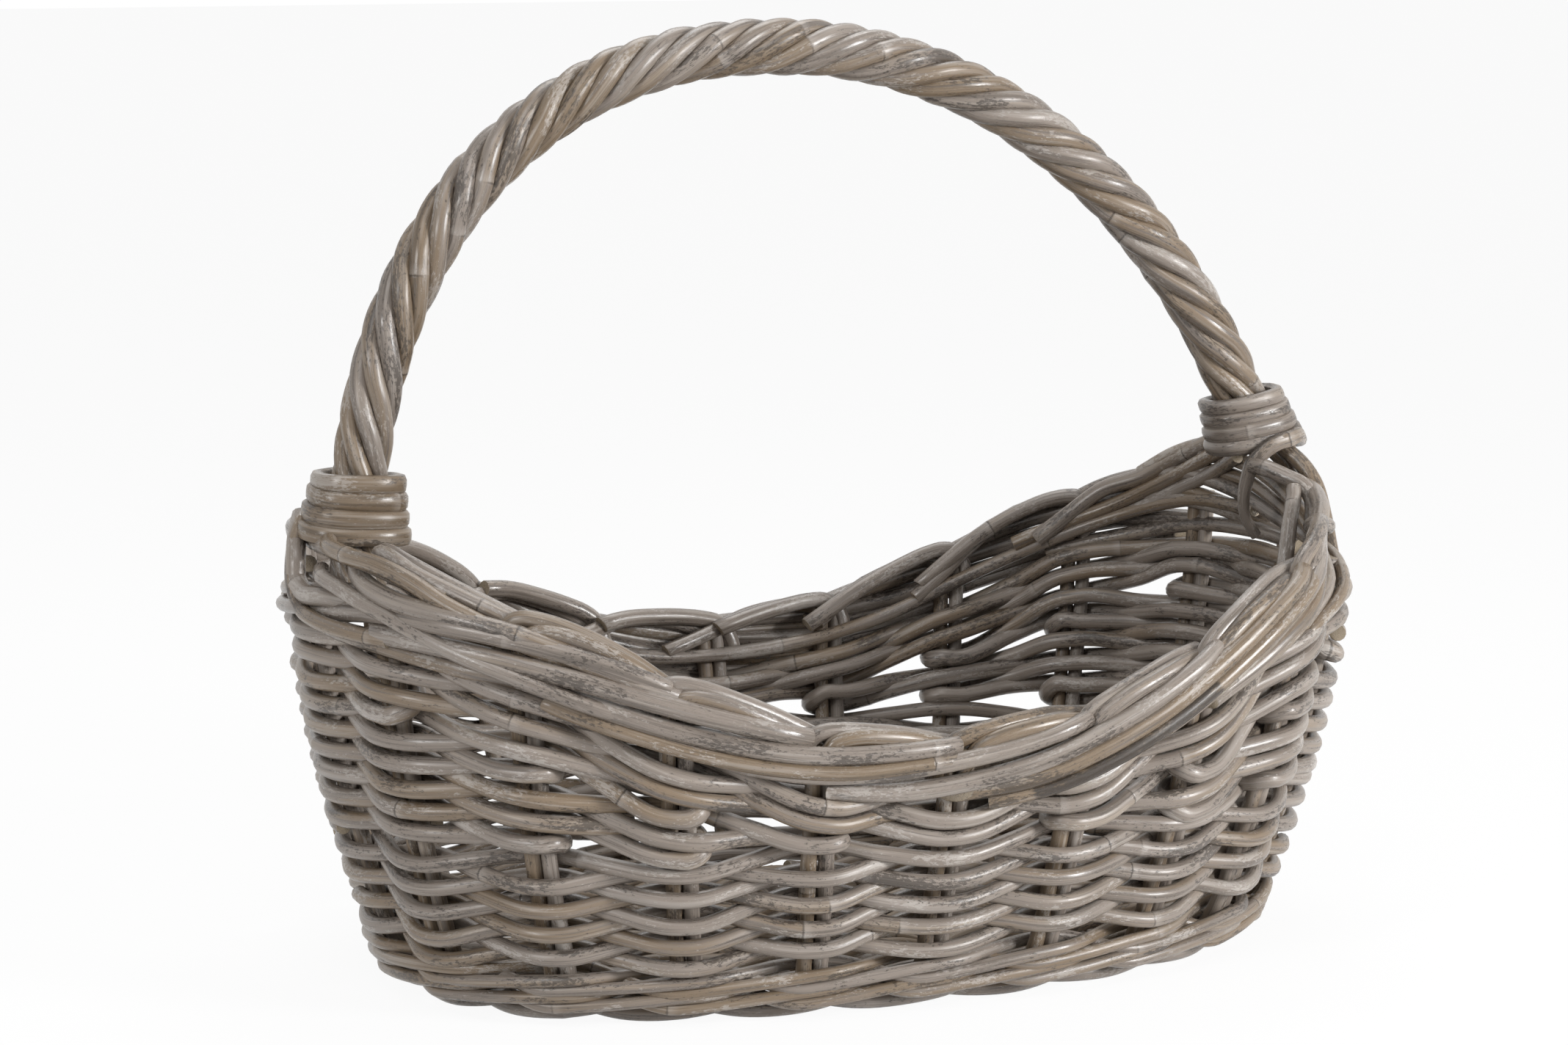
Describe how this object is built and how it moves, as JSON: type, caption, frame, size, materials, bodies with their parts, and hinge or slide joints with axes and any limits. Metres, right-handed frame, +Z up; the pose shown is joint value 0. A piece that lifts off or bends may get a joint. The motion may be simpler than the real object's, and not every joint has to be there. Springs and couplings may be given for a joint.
{
  "type": "rattan handle basket",
  "caption": "Boat-shaped woven rattan basket with a dipping rolled rim and a fixed roped arch handle lashed to both ends.",
  "frame": {"origin": "on the floor, under the middle of the basket's overall box", "axes": "+X the long way of the basket towards the end with the tailed lashing, +Y to the back, +Z up"},
  "size_m": [0.5534, 0.354, 0.4652],
  "materials": {
    "stake_rattan": "matt weathered cane",
    "weaver_rattan": "satin grey-brown rattan with pale wash",
    "rim_rattan": "satin thick rattan rods",
    "base_rattan": "matt brown rattan",
    "handle_rattan": "satin rattan",
    "lashing_rattan": "satin split rattan binding"
  },
  "bodies": {
    "root": {"back_top_rod": "rim_rattan", "cross_stake_1a": "stake_rattan", "cross_stake_1b": "stake_rattan", "cross_stake_2a": "stake_rattan", "cross_stake_2b": "stake_rattan", "cross_stake_3a": "stake_rattan", "cross_stake_3b": "stake_rattan", "cross_stake_4a": "stake_rattan", "cross_stake_4b": "stake_rattan", "cross_stake_5a": "stake_rattan", "cross_stake_5b": "stake_rattan", "cross_stake_6a": "stake_rattan", "cross_stake_6b": "stake_rattan", "cross_stake_7a": "stake_rattan", "cross_stake_7b": "stake_rattan", "curved_weaver_a": "weaver_rattan", "curved_weaver_b": "weaver_rattan", "flat_weaver_a1": "weaver_rattan", "flat_weaver_a2": "weaver_rattan", "flat_weaver_a3": "weaver_rattan", "flat_weaver_b1": "weaver_rattan", "flat_weaver_b2": "weaver_rattan", "flat_weaver_b3": "weaver_rattan", "foot_rod": "weaver_rattan", "front_top_rod": "rim_rattan", "handle_core": "handle_rattan", "handle_strand_1": "handle_rattan", "handle_strand_2": "handle_rattan", "handle_strand_3": "handle_rattan", "handle_strand_4": "handle_rattan", "handle_strand_5": "handle_rattan", "handle_strand_6": "handle_rattan", "inner_back_rod_high": "rim_rattan", "inner_back_rod_low": "rim_rattan", "inner_base_weaver_back": "base_rattan", "inner_base_weaver_front": "base_rattan", "inner_front_rod_high": "rim_rattan", "inner_front_rod_low": "rim_rattan", "left_lashing": "lashing_rattan", "left_packing_weaver": "weaver_rattan", "long_stake_1a": "stake_rattan", "long_stake_1b": "stake_rattan", "long_stake_2a": "stake_rattan", "long_stake_2b": "stake_rattan", "long_stake_3a": "stake_rattan", "long_stake_3b": "stake_rattan", "lower_upsett_rod": "weaver_rattan", "outer_base_weaver_back": "base_rattan", "outer_base_weaver_front": "base_rattan", "outer_rim_rod_high": "rim_rattan", "outer_rim_rod_low": "rim_rattan", "right_lashing": "lashing_rattan", "right_packing_weaver": "weaver_rattan", "upper_upsett_rod": "weaver_rattan"}
  },
  "joints": []
}
